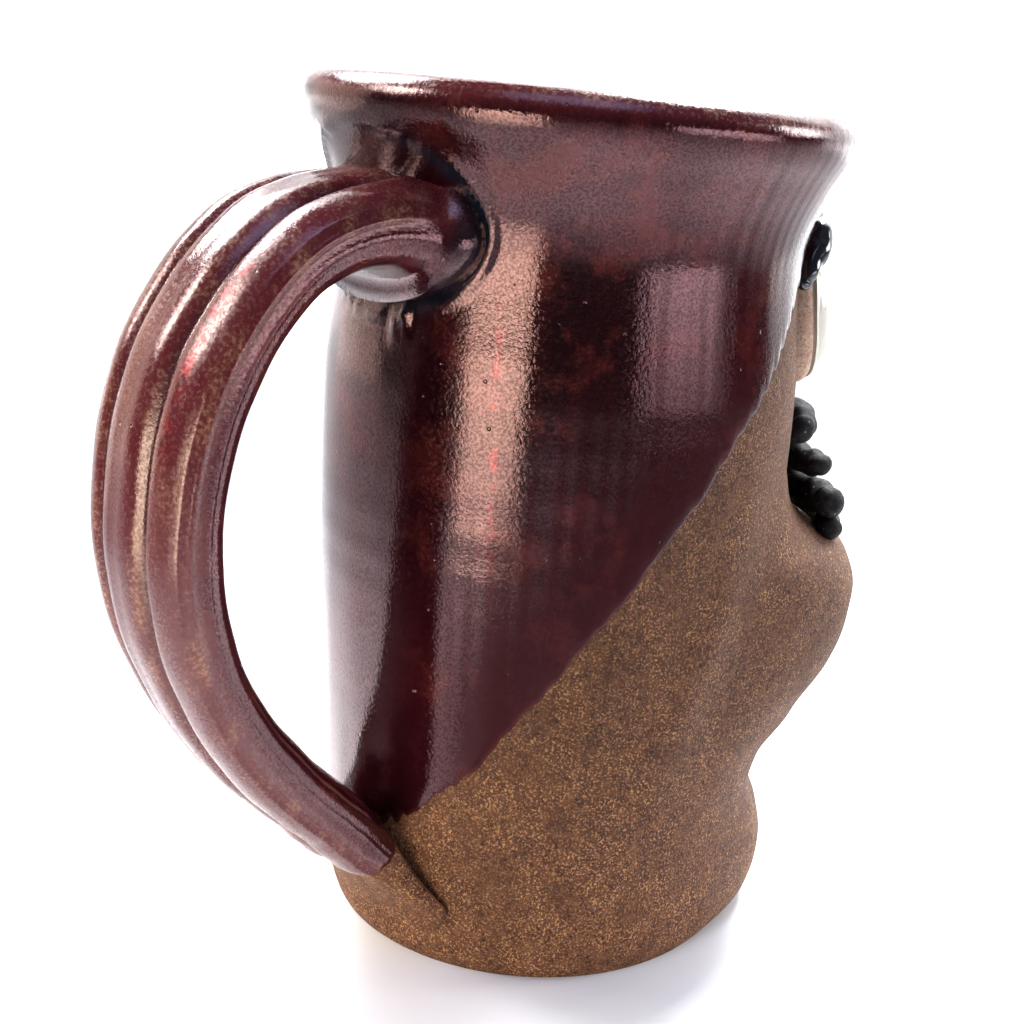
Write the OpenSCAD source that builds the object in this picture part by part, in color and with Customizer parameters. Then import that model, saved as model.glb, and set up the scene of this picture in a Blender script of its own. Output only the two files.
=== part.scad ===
// Stoneware face mug: a thrown cup with a pushed-out jaw, a pulled strap handle, a slanted coat of
// glaze and a face of added clay. The cup's axis is Z, it stands on z = 0, the face looks along -Y
// and the handle is on the +Y side. Left and right are those of someone who faces the mug.
// An azimuth of 0 is the middle of the face, and it grows towards +X.

/* [Cup] */
// Height of the cup over its lip
mug_h = 140; // [136:1:146]
// Radius of the foot
base_r = 34.6; // [33:0.1:36]
// Radius of the belly
belly_r = 39.1; // [38:0.1:41]
// Radius of the neck
neck_r = 37.6; // [36.5:0.1:39]
// Largest radius of the lip
lip_r = 44.4; // [43:0.1:46]
// Thickness of the wall
wall_t = 5.2; // [4.6:0.1:6]
// Thickness of the floor
floor_t = 7; // [5:0.5:9]
// Height lost on the low side of the lip
lip_drop = 2.6; // [0:0.1:3]

/* [Jaw] */
// How far the jaw is pushed out
jaw_out = 21; // [16:0.5:23]
// Azimuth at which the push has faded to a third
jaw_spread = 58; // [50:1:64]

/* [Glaze] */
// Thickness of the coat
coat_t = 0.8; // [0.5:0.1:1.2]
// Height of the dip line on the axis
dip_z = 68.4; // [60:0.1:75]
// Rise of the dip line across the axis
dip_slope = 1.4; // [1.2:0.05:1.42]
// Azimuth at which the dip line is highest
dip_azimuth = -23; // [-40:1:0]

/* [Handle] */
// Width of the strap at its top
strap_w_top = 32; // [28:0.5:34]
// Width of the strap at its foot
strap_w_foot = 26; // [22:0.5:28]
// Thickness of the strap
strap_t = 11.8; // [10:0.1:13]
// Depth of the two grooves between the ridges
groove_d = 1.7; // [1:0.1:2]

/* [Face] */
// Azimuth of the middle of each eye
eye_azimuth = 30; // [26:1:32]
// Height of the middle of the eyes
eye_z = 106.6; // [105:0.1:109]
// Half the width of an eye slab
eye_half_w = 9.5; // [8:0.5:10]
// Half the height of an eye slab
eye_half_h = 11.6; // [9:0.1:12]
// Thickness of an eye slab
eye_pad_t = 2.9; // [2:0.1:3.5]
// Rise of the white over its slab
eye_rise = 4.6; // [3:0.1:5]
// Radius of a pupil
pupil_r = 3.6; // [3:0.1:4]
// How far the nose stands out
nose_out = 14; // [10:0.5:15]

/* [Hidden] */

around = 48;        // points in a ring of the cup
lip_low_azimuth = 15.5;
lip_lean = lip_drop / lip_r;
lean_from = 99;     // height at which the lean of the lip begins
set_in = 0.6;       // depth that added clay is pressed into the wall
liner_t = 0.6;

clay = [0.48, 0.35, 0.25];
oxblood = [0.27, 0.06, 0.08];
white_glaze = [0.93, 0.91, 0.84];
pale_clay = [0.74, 0.57, 0.47];
black_clay = [0.10, 0.09, 0.10];
black_glaze = [0.05, 0.06, 0.09];

// Thrown outline of the cup as height and radius, from the foot to the top of the lip
thrown = [
    [0, base_r], [1.5, base_r + 0.8], [5, base_r + 1.8], [13, base_r + 2.3],
    [33, base_r + 2.9], [55, belly_r - 0.7], [77, belly_r], [97, belly_r],
    [mug_h - 30, neck_r + 0.3], [mug_h - 22, neck_r], [mug_h - 16, neck_r + 1.1],
    [mug_h - 10, neck_r + 3.7], [mug_h - 5.5, lip_r - 0.6], [mug_h - 2.5, lip_r],
    [mug_h - 0.6, lip_r - 1.2], [mug_h, lip_r - 2.9]
];
// Outline of the inside, from the floor to the lip
hollow = [
    [floor_t, base_r - 1.8 - wall_t], [floor_t + 2, base_r + 1.8 - wall_t],
    [floor_t + 8, base_r + 2.8 - wall_t],
    [33, base_r + 2.9 - wall_t], [55, belly_r - 0.7 - wall_t], [77, belly_r - wall_t],
    [97, belly_r - wall_t], [mug_h - 30, neck_r - wall_t + 0.3], [mug_h - 22, neck_r - wall_t],
    [mug_h - 16, neck_r - wall_t + 1.3], [mug_h - 10, neck_r - wall_t + 3.9],
    [mug_h - 5.5, lip_r - 7], [mug_h - 2, lip_r - 6], [mug_h - 0.5, lip_r - 4.6]
];
// Share of jaw_out at each height: a low swell, a pinch, the jaw and the shelf on top of it
jaw_share = [
    [0, 0.14], [3, 0.33], [10, 0.38], [17, 0.29], [24, 0.14], [30, 0.21], [38, 0.55],
    [46, 0.88], [52, 0.98], [58, 1], [64, 0.88], [67, 0.74], [69, 0.52], [71.5, 0.31],
    [75, 0.14], [82, 0]
];
outer_z = [
    0, 1.5, 5, 10, 17, 24, 30, 38, 46, 52, 58, 64, 67, 69, 71.5, 75, 82, 97,
    mug_h - 30, mug_h - 22, mug_h - 16, mug_h - 10, mug_h - 5.5, mug_h - 2.5, mug_h - 0.6, mug_h
];
inner_z = [for (i = [len(hollow) - 1 : -1 : 0]) hollow[i][0]];

function turn(a) = a > 180 ? turn(a - 360) : a < -180 ? turn(a + 360) : a;
function jaw_fade(a) = exp(-pow(abs(turn(a)) / jaw_spread, 3));
function jaw(a, z) = jaw_out * lookup(z, jaw_share) * jaw_fade(a);
function wall_r(a, z) = lookup(z, thrown) + jaw(a, z);
function hollow_r(a, z) = lookup(z, hollow) + 0.8 * jaw(a, z) * min(1, (z - floor_t) / 22);
function lean(z) = min(1, max(0, (z - lean_from) / (mug_h - lean_from)));
function at(a, r, z) = [r * sin(a), -r * cos(a), z - lip_lean * lean(z) * r * cos(a - lip_low_azimuth)];
function dip(a) = dip_z + dip_slope * belly_r * 0.985 * cos(a - dip_azimuth);
function azimuths() = [for (i = [0 : around - 1]) i * 360 / around];
function smooth(a, b, c, d, t) =
    0.5 * (2 * b + (c - a) * t + (2 * a - 5 * b + 4 * c - d) * t * t + (3 * b - a - 3 * c + d) * t * t * t);
// Smooth curve through hand-set points, with a number of steps between each two
function through(p, steps) = concat(
    [for (i = [0 : len(p) - 2], k = [0 : steps - 1])
        smooth(p[max(i - 1, 0)], p[i], p[i + 1], p[min(i + 2, len(p) - 1)], k / steps)],
    [p[len(p) - 1]]
);
function unit(v) = v / norm(v);

// Solid through a stack of rings of equal length. Each end closes on its centre point, and with
// loop set the last ring joins the first instead.
module skin(rings, first_centre, last_centre, loop = false) {
    n = len(rings[0]);
    m = len(rings);
    stacks = loop ? m : m - 1;
    points = concat([for (r = rings, p = r) p], loop ? [] : [first_centre, last_centre]);
    sides = [
        for (j = [0 : stacks - 1], i = [0 : n - 1])
            let (a = j * n + i, b = j * n + (i + 1) % n,
                 d = ((j + 1) % m) * n + i, c = ((j + 1) % m) * n + (i + 1) % n)
            each [[a, d, c], [a, c, b]]
    ];
    ends = loop ? [] : [
        for (i = [0 : n - 1])
            let (e = (m - 1) * n, k = (i + 1) % n)
            each [[n * m, i, k], [n * m + 1, e + k, e + i]]
    ];
    polyhedron(points, concat(sides, ends), convexity = 6);
}

// Rings of the wall, at the given heights
function outer_rings(heights) = [for (z = heights) [for (a = azimuths()) at(a, wall_r(a, z), z)]];
function inner_rings(heights, in_by) =
    [for (z = heights) [for (a = azimuths()) at(a, hollow_r(a, z) - in_by, z)]];

module body() {
    color(clay)
        skin(concat(outer_rings(outer_z), inner_rings(inner_z, 0)), [0, 0, 0], [0, 0, floor_t]);
}

module outer_glaze() {
    rows = 9;
    straight_top = mug_h - 10;
    lip_z = [mug_h - 5.5, mug_h - 2.5, mug_h - 0.6];
    function row_z(a, k) = dip(a) + (straight_top - dip(a)) * k / rows;
    up = concat(
        [for (k = [0 : rows]) [for (a = azimuths())
            at(a, wall_r(a, row_z(a, k)) + coat_t * (k == 0 ? 0.6 : 1), row_z(a, k))]],
        [for (z = lip_z) [for (a = azimuths()) at(a, wall_r(a, z) + coat_t * 0.8, z + 0.3)]]
    );
    over = [
        [for (a = azimuths()) at(a, lip_r - 2.9, mug_h + coat_t)],
        [for (a = azimuths()) at(a, lip_r - 4.8, mug_h - 0.3 + coat_t * 0.8)],
        [for (a = azimuths()) at(a, lip_r - 4.6, mug_h - 0.5)],
        [for (a = azimuths()) at(a, lip_r - 2.9, mug_h)]
    ];
    down = concat(
        [for (i = [2 : -1 : 0]) [for (a = azimuths()) at(a, wall_r(a, lip_z[i]), lip_z[i])]],
        [for (k = [rows : -1 : 0]) [for (a = azimuths()) at(a, wall_r(a, row_z(a, k)), row_z(a, k))]]
    );
    color(oxblood)
        skin(concat(up, over, down), loop = true);
}

module liner_glaze() {
    color(oxblood)
        skin(
            concat(
                inner_rings([for (h = hollow) h[0]], 0),
                [for (z = inner_z) [for (a = azimuths())
                    at(a, hollow_r(a, z) - liner_t, max(z, floor_t + liner_t))]]
            ),
            [0, 0, floor_t], [0, 0, floor_t + liner_t]
        );
}

// Centre line of the handle in the YZ plane, from the wall at the neck to the wall at the foot
handle_path = [
    [38.5, 120.8], [43, 122], [51, 121.4], [59.5, 117.5], [68, 107.5], [73.7, 94.5],
    [75.8, 78], [73.2, 62], [66.5, 48], [57.5, 36.5], [50, 29.2], [44.5, 23.5],
    [39.6, 17.5], [37.8, 11.5], [36.7, 7]
];
path_steps = 3;
handle_line = through(handle_path, path_steps);
last_station = len(handle_line) - 1;
pad_end = path_steps + 1;           // station where the pad hands over to the strap
tail_start = path_steps * 11;       // station where the strap hands over to the tail
across = [-1, -0.94, -0.8, -0.6, -0.38, -0.19, 0, 0.19, 0.38, 0.6, 0.8, 0.94];
width_at = [
    [0, strap_w_top + 5.5], [3, strap_w_top + 1.6], [6, strap_w_top], [14, strap_w_top - 3],
    [24, strap_w_foot], [tail_start, strap_w_foot], [tail_start + 6, strap_w_foot + 10],
    [last_station, strap_w_foot + 5]
];
thickness_at = [
    [0, strap_t + 11.2], [1, strap_t + 6], [3, strap_t + 2.8], [6, strap_t], [tail_start, strap_t - 0.8],
    [tail_start + 3, strap_t - 3.8], [tail_start + 6, 3.6], [last_station, 1.2]
];

function edge_round(s) = sqrt(1 - pow(abs(s), 4));
function groove(s) = groove_d * exp(-pow((abs(s) - 0.38) / 0.14, 2));
function outward(i) =
    let (t = unit(handle_line[min(i + 1, last_station)] - handle_line[max(i - 1, 0)])) [-t[1], t[0]];
// A point kept at least this far out of the cup's wall, on the handle's side
function clear_of_wall(p, by) =
    [p[0], max(p[1], sqrt(pow(lookup(p[2], thrown), 2) - p[0] * p[0]) + by), p[2]];
// How far a point of the tail is bent in to follow the round wall
function bent_in(i, x, z) =
    let (share = min(1, max(0, (i - tail_start) / 6)), r = lookup(z, thrown))
    share * (r - sqrt(r * r - x * x));
// Cross-section of the strap at a station, on the plane square to its centre line
function strap_ring(i, deep) =
    let (c = handle_line[i], o = outward(i), w = lookup(i, width_at) / 2, h = lookup(i, thickness_at) / 2)
    concat(
        [for (s = across) let (up = h * edge_round(s) - deep * groove(s), z = c[1] + o[1] * up)
            clear_of_wall([s * w, c[0] + o[0] * up - bent_in(i, s * w, z), z], 0.3)],
        [for (s = across) let (down = -h * edge_round(s), z = c[1] + o[1] * down)
            clear_of_wall([-s * w, c[0] + o[0] * down - bent_in(i, s * w, z), z], -set_in)]
    );
// The pad's first ring lies in the wall
function pad_root() = [for (p = strap_ring(0, 0)) clear_of_wall([p[0], 0, p[2]], -set_in)];
function station_centre(i) = clear_of_wall([0, handle_line[i][0], handle_line[i][1]], -set_in / 2);
function stretch(from, to) =
    [for (i = [from : to])
        strap_ring(i, i < pad_end ? i / pad_end : i > tail_start ? 1 - (i - tail_start) / 9 : 1)];

module handle() {
    color(oxblood) skin(stretch(pad_end, tail_start), station_centre(pad_end), station_centre(tail_start));
}

module handle_upper_pad() {
    color(oxblood)
        skin(concat([pad_root()], stretch(1, pad_end)),
            clear_of_wall([0, 0, handle_path[0][1]], -set_in), station_centre(pad_end));
}

module handle_tail() {
    color(clay)
        skin(stretch(tail_start, last_station), station_centre(tail_start), station_centre(last_station));
}

// Added clay on the face. Each piece is set out for the +X side, and side = -1 mirrors it.

function oval(i, n) = [cos(i * 360 / n), sin(i * 360 / n)];
function arc_degrees(length) = length / belly_r * 180 / PI;
// Height of the white over the wall, at a share of the way from its middle to its edge
function white_h(share) = eye_pad_t + eye_rise * pow(max(0, 1 - pow(share, 2.4)), 0.6);

// Oval slab on the wall. Each level is a share of the outline and a height over the wall.
module slab(side, a, z, half_w, half_h, levels, top) {
    n = 28;
    function on_wall(u, v, h) =
        let (az = side * (a + side * arc_degrees(u)), up = z + v) at(az, wall_r(az, up) + h, up);
    skin(
        [for (l = levels) [for (i = [0 : n - 1]) let (o = oval(i, n))
            on_wall(o[0] * l[0] * half_w, o[1] * l[0] * half_h, l[1])]],
        on_wall(0, 0, levels[0][1]), on_wall(0, 0, top)
    );
}

module eye_pad(side) {
    color(pale_clay)
        slab(side, eye_azimuth, eye_z, eye_half_w, eye_half_h,
            [[1, -set_in], [1.03, eye_pad_t * 0.55], [0.97, eye_pad_t]], eye_pad_t);
}

module eye_white(side) {
    shares = [0.96, 0.9, 0.78, 0.6, 0.4, 0.2];
    color(white_glaze)
        slab(side, eye_azimuth, eye_z + 0.4, eye_half_w, eye_half_h,
            concat([[0.93, eye_pad_t]], [for (s = shares) [s, white_h(s)]]), white_h(0));
}

module pupil(side) {
    n = 20;
    toward_nose = 1.8;
    spot_t = 0.6;
    function on_white(u, v, h) =
        let (share = norm([(u - toward_nose) / eye_half_w, v / eye_half_h]),
             az = side * (eye_azimuth + arc_degrees(u - toward_nose)), up = eye_z + 0.4 + v)
        at(az, wall_r(az, up) + white_h(share) + h, up);
    rings = [for (l = [[1, -0.4], [1, 0.15], [0.8, spot_t * 0.8], [0.4, spot_t]])
        [for (i = [0 : n - 1]) let (o = oval(i, n), r = l[0] * pupil_r)
            on_white(side * o[0] * r, o[1] * r, l[1])]];
    color(black_glaze)
        skin(rings, on_white(0, 0, -0.4), on_white(0, 0, spot_t));
}

// Hand-rolled coil of clay. Each stop of the route is its azimuth, its height and how far its
// middle stands out from the thrown wall, then its radius.
module coil(side, route) {
    n = 10;
    line = through(route, 3);
    last = len(line) - 1;
    place = [for (p = line) at(side * p[0], lookup(p[1], thrown) + p[2], p[1])];
    function heading(i) = unit(place[min(i + 1, last)] - place[max(i - 1, 0)]);
    function ring(centre, t, out, r) =
        let (o = unit(out - t * (out * t)), b = cross(t, o))
        [for (k = [0 : n - 1]) centre + r * (o * cos(k * 360 / n) + b * sin(k * 360 / n))];
    function radial(p) = unit([p[0], p[1], 0]);
    first_t = heading(0);
    last_t = heading(last);
    r0 = line[0][3];
    r1 = line[last][3];
    skin(
        concat(
            [ring(place[0] - first_t * r0 * 0.75, first_t, radial(place[0]), r0 * 0.66)],
            [for (i = [0 : last]) ring(place[i], heading(i), radial(place[i]), line[i][3])],
            [ring(place[last] + last_t * r1 * 0.75, last_t, radial(place[last]), r1 * 0.66)]
        ),
        place[0] - first_t * r0, place[last] + last_t * r1
    );
}

brow_route = [
    [10, 120.4, 2.1, 2.2], [18, 122, 2.9, 2.9], [28, 122.2, 3.2, 3.1], [37, 120.2, 3.1, 2.8],
    [42.5, 116.8, 2.1, 2], [45, 113.5, 1, 1.2]
];
curl_routes = [
    [
        [4.5, 85.5, 3, 2.3], [13, 86.5, 3.8, 2.6], [23, 87.6, 3.8, 2.8], [32, 88.4, 3.2, 2.9],
        [38.5, 87.6, 2.3, 2.6]
    ],
    [
        [4, 80.5, 3.4, 2.2], [13, 80.9, 4.4, 2.5], [23, 81, 4.9, 2.5], [31, 80.6, 5.7, 2.4],
        [37, 81.2, 6.8, 2.1]
    ],
    [
        [3.8, 75.7, 5.2, 2.2], [13, 75.4, 6.2, 2.5], [23, 75.2, 7, 2.7], [31, 74.6, 8.2, 2.8],
        [37, 74.6, 9.4, 2.7]
    ],
    [
        [3.4, 71.2, 10, 2], [12, 70.8, 11, 2.1], [22, 70.4, 11.2, 2.2], [30, 70, 11, 2.2],
        [36.5, 69.6, 10.2, 2.2]
    ]
];
lip_route = [
    [-15, 65.2, 16.6, 1.2], [-8, 66.2, 18.2, 2.1], [0, 66.6, 18.7, 2.4], [8, 66.2, 18.2, 2.1],
    [15, 65.2, 16.6, 1.2]
];

module brow(side) { color(black_glaze) coil(side, brow_route); }
module curl(side, row) { color(black_clay) coil(side, curl_routes[row - 1]); }
module lower_lip() { color(clay) coil(1, lip_route); }

// Nose as a stack of sections: height, half width and how far it stands out from the wall
nose_sections = [
    [88, 4.5, 0.3], [88.6, 7.6, 0.72], [91, 9.2, 0.95], [94, 8.6, 1], [98, 6.6, 0.84],
    [104, 5, 0.62], [111, 4.4, 0.42], [117, 4, 0.22], [120, 3, 0.06]
];
module nose() {
    shares = [-1, -0.9, -0.7, -0.45, -0.2, 0, 0.2, 0.45, 0.7, 0.9, 1];
    function wall_y(x, z) = -sqrt(pow(lookup(z, thrown), 2) - x * x);
    function section(s) = concat(
        [for (u = shares) [u * s[1], wall_y(u * s[1], s[0]) - nose_out * s[2] * pow(1 - u * u, 0.6), s[0]]],
        [for (u = shares) [-u * s[1], wall_y(u * s[1], s[0]) + set_in, s[0]]]
    );
    first = nose_sections[0][0];
    last = nose_sections[len(nose_sections) - 1][0];
    color(clay)
        skin([for (s = nose_sections) section(s)], [0, wall_y(0, first), first], [0, wall_y(0, last), last]);
}

body();
outer_glaze();
liner_glaze();
handle();
handle_upper_pad();
handle_tail();
nose();
lower_lip();
eye_pad(-1);  // eye_pad_left
eye_pad(1);  // eye_pad_right
eye_white(-1);  // eye_white_left
eye_white(1);  // eye_white_right
pupil(-1);  // pupil_left
pupil(1);  // pupil_right
brow(-1);  // brow_left
brow(1);  // brow_right
for (row = [1 : 4]) {
    curl(-1, row);
    curl(1, row);
}
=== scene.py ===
"""Stoneware face mug: the clay, the coats of glaze, the pulled strap and the face of added clay.

Sizes are in millimetres in the row frame and become metres when a mesh is made. An azimuth of 0 is
the middle of the face (-Y) and grows towards +X, so the handle is at 180.
"""
import math

import bpy
import numpy as np
from mathutils import Matrix, Vector


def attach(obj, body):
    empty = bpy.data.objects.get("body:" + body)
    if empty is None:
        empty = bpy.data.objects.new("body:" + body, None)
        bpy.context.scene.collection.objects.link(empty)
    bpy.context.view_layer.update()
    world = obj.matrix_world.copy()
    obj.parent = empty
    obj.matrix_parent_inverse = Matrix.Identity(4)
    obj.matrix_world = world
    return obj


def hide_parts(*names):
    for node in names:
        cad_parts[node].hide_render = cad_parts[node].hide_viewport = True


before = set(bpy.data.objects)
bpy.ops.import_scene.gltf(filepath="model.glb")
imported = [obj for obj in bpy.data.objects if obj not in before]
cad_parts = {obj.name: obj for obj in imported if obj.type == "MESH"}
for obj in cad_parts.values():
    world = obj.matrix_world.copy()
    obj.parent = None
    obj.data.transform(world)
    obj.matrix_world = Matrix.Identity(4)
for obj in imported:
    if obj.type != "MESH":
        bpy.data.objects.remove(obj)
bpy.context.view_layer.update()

MM = 0.001
MUG_H = 140.0
BASE_R = 34.6
BELLY_R = 39.1
NECK_R = 37.6
LIP_R = 44.4
WALL_T = 5.2
FLOOR_T = 7.0
LIP_LEAN = 2.6 / LIP_R          # fall of the lip per millimetre towards its low side
LIP_LOW_AZIMUTH = 15.5
LEAN_FROM = 99.0
JAW_OUT = 21.0
JAW_SPREAD = 58.0
DIP_Z = 68.4                    # the dip line's height on the axis, its slope and its high side
DIP_SLOPE = 1.4
DIP_AZIMUTH = -23.0
COAT_T = 0.6
LINER_T = 0.6
PAD_RIM_Z = 120.4               # middle, half width and half height of the ring of glaze round the pad
PAD_RIM_W = 20.3
PAD_RIM_H = 13.0
EYE_AZIMUTH = 30.0
EYE_Z = 106.6
EYE_HALF_W = 9.5
EYE_HALF_H = 11.6
EYE_PAD_T = 2.9
EYE_RISE = 4.6
WHITE_Z = EYE_Z + 0.4           # middle of the white and of the pupil
PUPIL_R = 3.6
PUPIL_INWARD = 1.8              # how far the pupils stand towards the nose
NOSE_OUT = 14.0
STRAP_T = 11.8

AROUND = 360                    # points in a ring of the cup


# ---------------------------------------------------------------- curves and noise

def smooth_table(points):
    """A smooth function through (x, y) points, with no overshoot between them."""
    x, y = (np.array(v, float) for v in zip(*points))
    h, slope = np.diff(x), np.diff(y) / np.diff(x)
    d = np.zeros(len(x))
    for i in range(1, len(x) - 1):
        if slope[i - 1] * slope[i] > 0:
            w1, w2 = 2 * h[i] + h[i - 1], h[i] + 2 * h[i - 1]
            d[i] = (w1 + w2) / (w1 / slope[i - 1] + w2 / slope[i])
    d[0], d[-1] = slope[0], slope[-1]

    def value(at):
        at = np.clip(at, x[0], x[-1])
        i = np.clip(np.searchsorted(x, at, side="right") - 1, 0, len(x) - 2)
        t = (at - x[i]) / h[i]
        return ((1 + 2 * t) * (1 - t) ** 2 * y[i] + t * (1 - t) ** 2 * h[i] * d[i]
                + t * t * (3 - 2 * t) * y[i + 1] + t * t * (t - 1) * h[i] * d[i + 1])
    return value


def through(points, steps):
    """Points along the smooth curve through given points, with a number of steps between each two."""
    p = np.array(points, float)
    padded = np.vstack([p[:1], p, p[-1:]])
    out = []
    for i in range(len(p) - 1):
        a, b, c, d = padded[i:i + 4]
        for t in np.arange(steps) / steps:
            out.append(0.5 * (2 * b + (c - a) * t + (2 * a - 5 * b + 4 * c - d) * t ** 2
                              + (3 * b - a - 3 * c + d) * t ** 3))
    out.append(p[-1])
    return np.array(out)


def ripple(seed, count, u_turns, v_period):
    """Soft noise over azimuth in degrees and a height in mm. It closes on itself round the cup."""
    rng = np.random.RandomState(seed)
    turns = rng.randint(u_turns[0], u_turns[1] + 1, count) * rng.choice([-1, 1], count)
    rate = 2 * math.pi / rng.uniform(v_period[0], v_period[1], count)
    phase = rng.uniform(0, 2 * math.pi, count)

    def value(azimuth, v):
        total = 0
        for k in range(count):
            total = total + np.sin(turns[k] * np.radians(azimuth) + rate[k] * v + phase[k])
        return total / math.sqrt(count / 2)
    return value


def bump_at(x, middle, width):
    return np.exp(-((x - middle) / width) ** 2)


def turned(azimuth):
    return (azimuth + 180.0) % 360.0 - 180.0


# ---------------------------------------------------------------- the cup's own form

# Outline of the clay as radius and height: the outside up to the lip, then the inside down to the floor
OUTLINE = [
    (BASE_R, 0), (BASE_R + 0.8, 1.5), (BASE_R + 1.8, 5), (BASE_R + 2.3, 13), (BASE_R + 2.9, 33),
    (BELLY_R - 0.7, 55), (BELLY_R, 77), (BELLY_R, 97), (NECK_R + 0.3, 110), (NECK_R, 118),
    (NECK_R + 1.1, 124), (NECK_R + 3.7, 130), (LIP_R - 0.6, 134.5), (LIP_R, 137.5),
    (LIP_R - 1.2, 139.4), (LIP_R - 2.9, 140), (LIP_R - 4.6, 139.5), (LIP_R - 6, 138),
    (LIP_R - 7, 134.5), (NECK_R + 3.9 - WALL_T, 130), (NECK_R + 1.3 - WALL_T, 124),
    (NECK_R - WALL_T, 118), (NECK_R + 0.3 - WALL_T, 110), (BELLY_R - WALL_T, 97),
    (BELLY_R - WALL_T, 77), (BELLY_R - 0.7 - WALL_T, 55), (BASE_R + 2.9 - WALL_T, 33),
    (BASE_R + 2.8 - WALL_T, FLOOR_T + 8), (BASE_R + 1.8 - WALL_T, FLOOR_T + 2.2),
    (BASE_R - 1.8 - WALL_T, FLOOR_T + 0.1), (BASE_R - 8 - WALL_T, FLOOR_T),
]
LIP_TOP = OUTLINE.index((LIP_R - 2.9, 140))
outline = through(OUTLINE, 12)
outline_s = np.concatenate([[0], np.cumsum(np.hypot(*np.diff(outline, axis=0).T))])
outline_n = np.gradient(outline, outline_s, axis=0)
outline_n = np.stack([outline_n[:, 1], -outline_n[:, 0]], 1)
outline_n /= np.linalg.norm(outline_n, axis=1)[:, None]
TOP_S = outline_s[LIP_TOP * 12]
INNER_EDGE_S = outline_s[(LIP_TOP + 2) * 12]
END_S = outline_s[-1]

# Share of the jaw's push at each height: a low swell, a pinch, the jaw and the shelf on top of it
jaw_share = smooth_table([
    (0, 0.14), (3, 0.33), (10, 0.38), (17, 0.29), (24, 0.14), (30, 0.21), (38, 0.55), (46, 0.88),
    (52, 0.98), (58, 1), (64, 0.88), (67, 0.74), (69, 0.52), (71.5, 0.31), (75, 0.14), (82, 0)])
lumps = ripple(3, 14, (1, 5), (90, 220))
throwing = ripple(7, 6, (0, 1), (5.5, 8))
fine_lumps = ripple(11, 16, (6, 18), (30, 90))


def thrown_r(z):
    up = outline[:LIP_TOP * 12 + 1]
    return np.interp(z, up[:, 1], up[:, 0])


def jaw(azimuth, z):
    return JAW_OUT * jaw_share(z) * np.exp(-(np.abs(turned(azimuth)) / JAW_SPREAD) ** 3)


def worked(azimuth, z):
    """Marks of the potter's hands on the outside, in mm."""
    a = turned(azimuth)
    fold = 80 + (82 - z) * 0.42
    on_jaw = bump_at(z, 58, 22)
    crest = 0.9 * on_jaw * (bump_at(np.abs(a), fold, 6) - 0.9 * bump_at(np.abs(a), fold - 15, 8))
    knuckle = 0.8 * bump_at(z, 35, 4) * bump_at(np.abs(a), 44, 10)
    calm_foot = np.clip(z / 4, 0, 1)
    marks = 0.10 * lumps(azimuth, z) + 0.01 * throwing(azimuth, z) + 0.012 * fine_lumps(azimuth, z)
    return calm_foot * marks + crest + knuckle


def placed(azimuth, r, z):
    """Rows of (x, y, z) in mm, with the lean of the lip."""
    a = np.radians(azimuth)
    lean = np.clip((z - LEAN_FROM) / (MUG_H - LEAN_FROM), 0, 1)
    fall = LIP_LEAN * lean * r * np.cos(a - math.radians(LIP_LOW_AZIMUTH))
    return np.stack([r * np.sin(a), -r * np.cos(a), z - fall + 0 * a], -1)


def clay_form(azimuth, s, out=0.0):
    """The clay's surface at a distance s along the outline, moved out along its normal."""
    r = np.interp(s, outline_s, outline[:, 0])
    z = np.interp(s, outline_s, outline[:, 1])
    nr = np.interp(s, outline_s, outline_n[:, 0])
    nz = np.interp(s, outline_s, outline_n[:, 1])
    outside = np.clip((TOP_S - s) / 6, 0, 1)
    inside = np.clip((s - TOP_S) / 30, 0, 1)
    push = jaw(azimuth, z) * (outside + 0.8 * inside * np.clip((z - FLOOR_T) / 22, 0, 1))
    marks = worked(azimuth, z) * outside + inside * 0.1 * throwing(azimuth, z) * np.clip((z - 12) / 10, 0, 1)
    return placed(azimuth, r + push + marks + out * nr, z + out * nz)


def wall_r(azimuth, z):
    return thrown_r(z) + jaw(azimuth, z) + worked(azimuth, z)


def on_wall(azimuth, z, out):
    return placed(azimuth, wall_r(azimuth, z) + out, z)


def dip_line(azimuth):
    """Height of the glaze's lower edge."""
    plane = DIP_Z + DIP_SLOPE * BELLY_R * 0.985 * np.cos(np.radians(azimuth - DIP_AZIMUTH))
    edge = ripple(21, 10, (6, 30), (50, 90))
    ragged = ripple(23, 16, (40, 110), (50, 90))
    return (plane + 0.3 * edge(azimuth, 0.0) + 0.4 * ripple(22, 6, (2, 7), (50, 90))(azimuth, 0.0)
            + 0.3 * ragged(azimuth, 0.0))


# ---------------------------------------------------------------- meshes

def unit(v):
    return v / np.linalg.norm(v, axis=-1, keepdims=True)


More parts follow.
